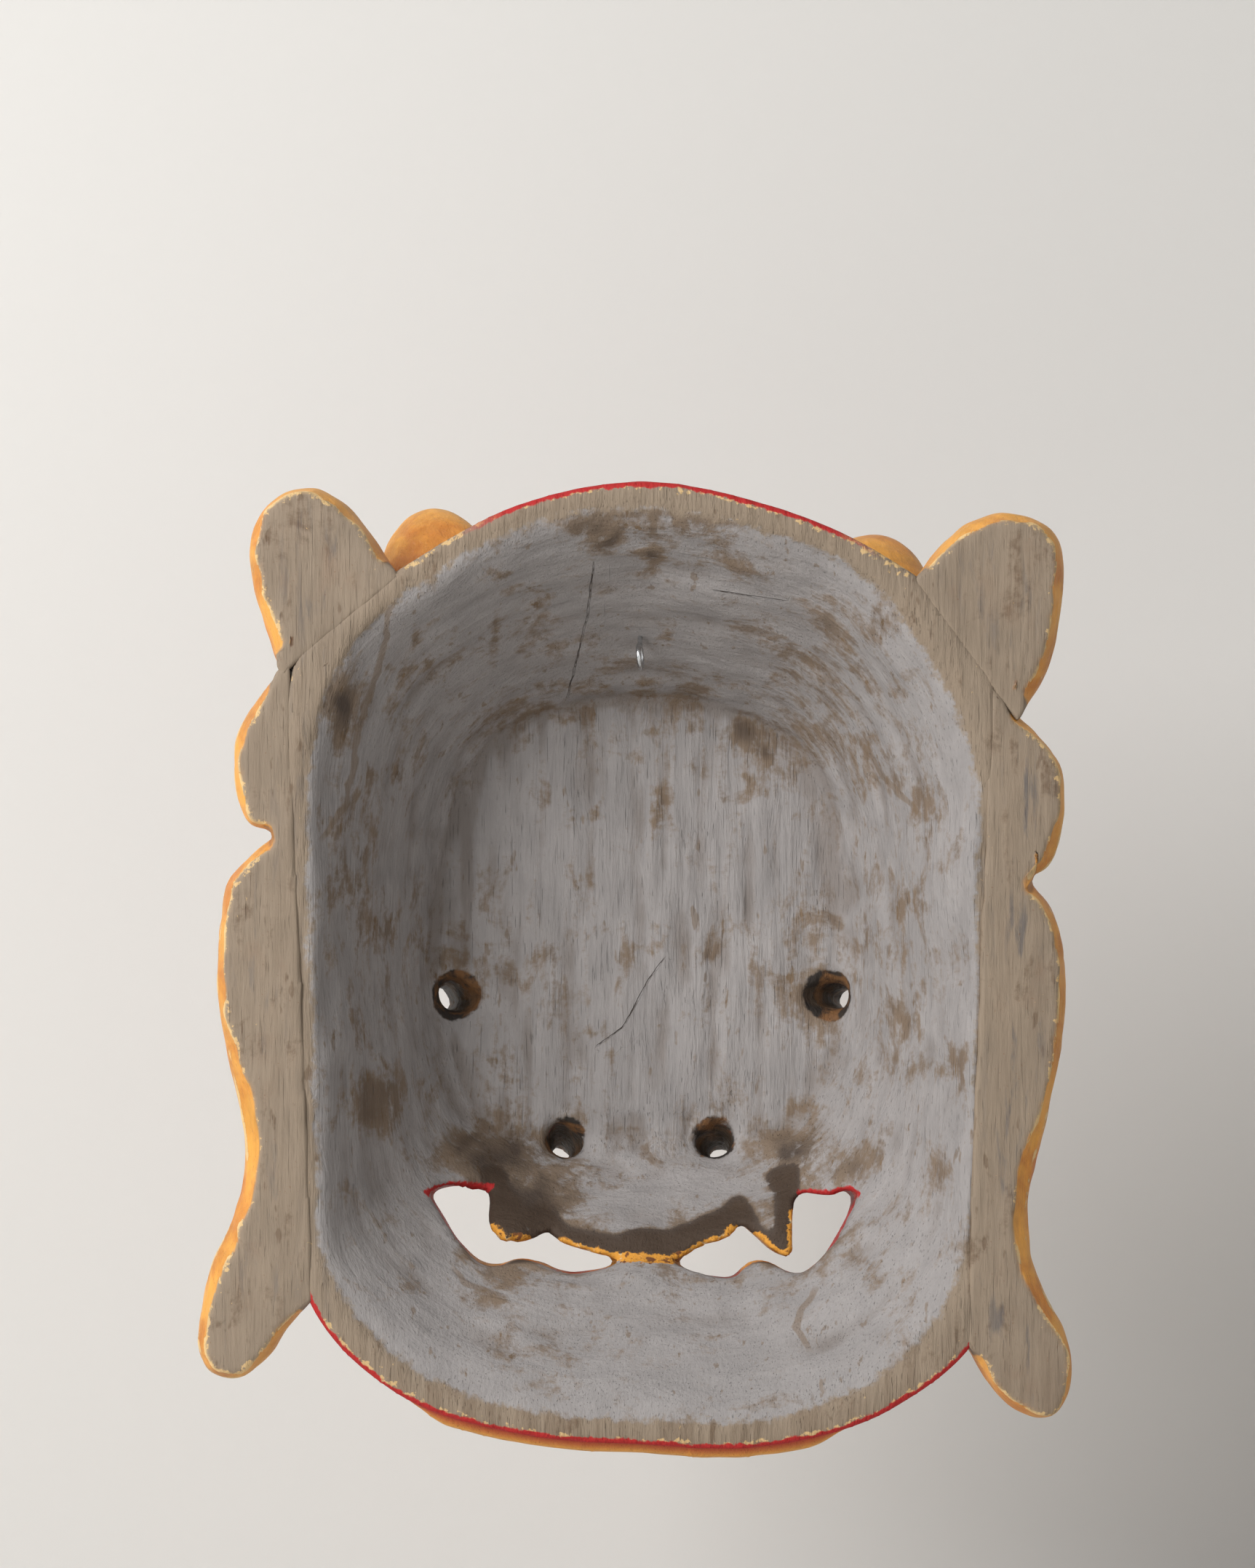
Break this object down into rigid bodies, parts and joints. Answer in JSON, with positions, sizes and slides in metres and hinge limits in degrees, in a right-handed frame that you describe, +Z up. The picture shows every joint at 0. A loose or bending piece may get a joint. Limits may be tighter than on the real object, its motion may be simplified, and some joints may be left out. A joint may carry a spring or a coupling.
{
  "type": "mask",
  "caption": "Carved and painted wooden beast mask with fangs, carved mane locks and round ears, hollow behind and hung from a screw eye.",
  "frame": {"origin": "centre of the screw eye's ring, from which the mask hangs", "axes": "+Z up as hung, -Y out of the front of the face, +X to the wearer's left, which is on the left when the hollow back is seen"},
  "size_m": [0.3088, 0.1461, 0.3409],
  "materials": {
    "face_paint": "red paint over carved wood, grey and taupe paint behind, worn at the edges",
    "mane_paint": "ochre paint over carved wood, taupe paint on the back faces",
    "bright_steel": "zinc plated steel wire",
    "dark_iron": "dull nail heads, partly under paint"
  },
  "bodies": {
    "root": {"face_shell": "face_paint", "left_mane": "mane_paint", "right_mane": "mane_paint", "left_upper_lock": "mane_paint", "right_upper_lock": "mane_paint", "left_ear": "mane_paint", "right_ear": "mane_paint", "screw_eye": "bright_steel", "left_lock_nail": "dark_iron", "right_lock_nail": "dark_iron", "mane_nails": "dark_iron"}
  },
  "joints": []
}
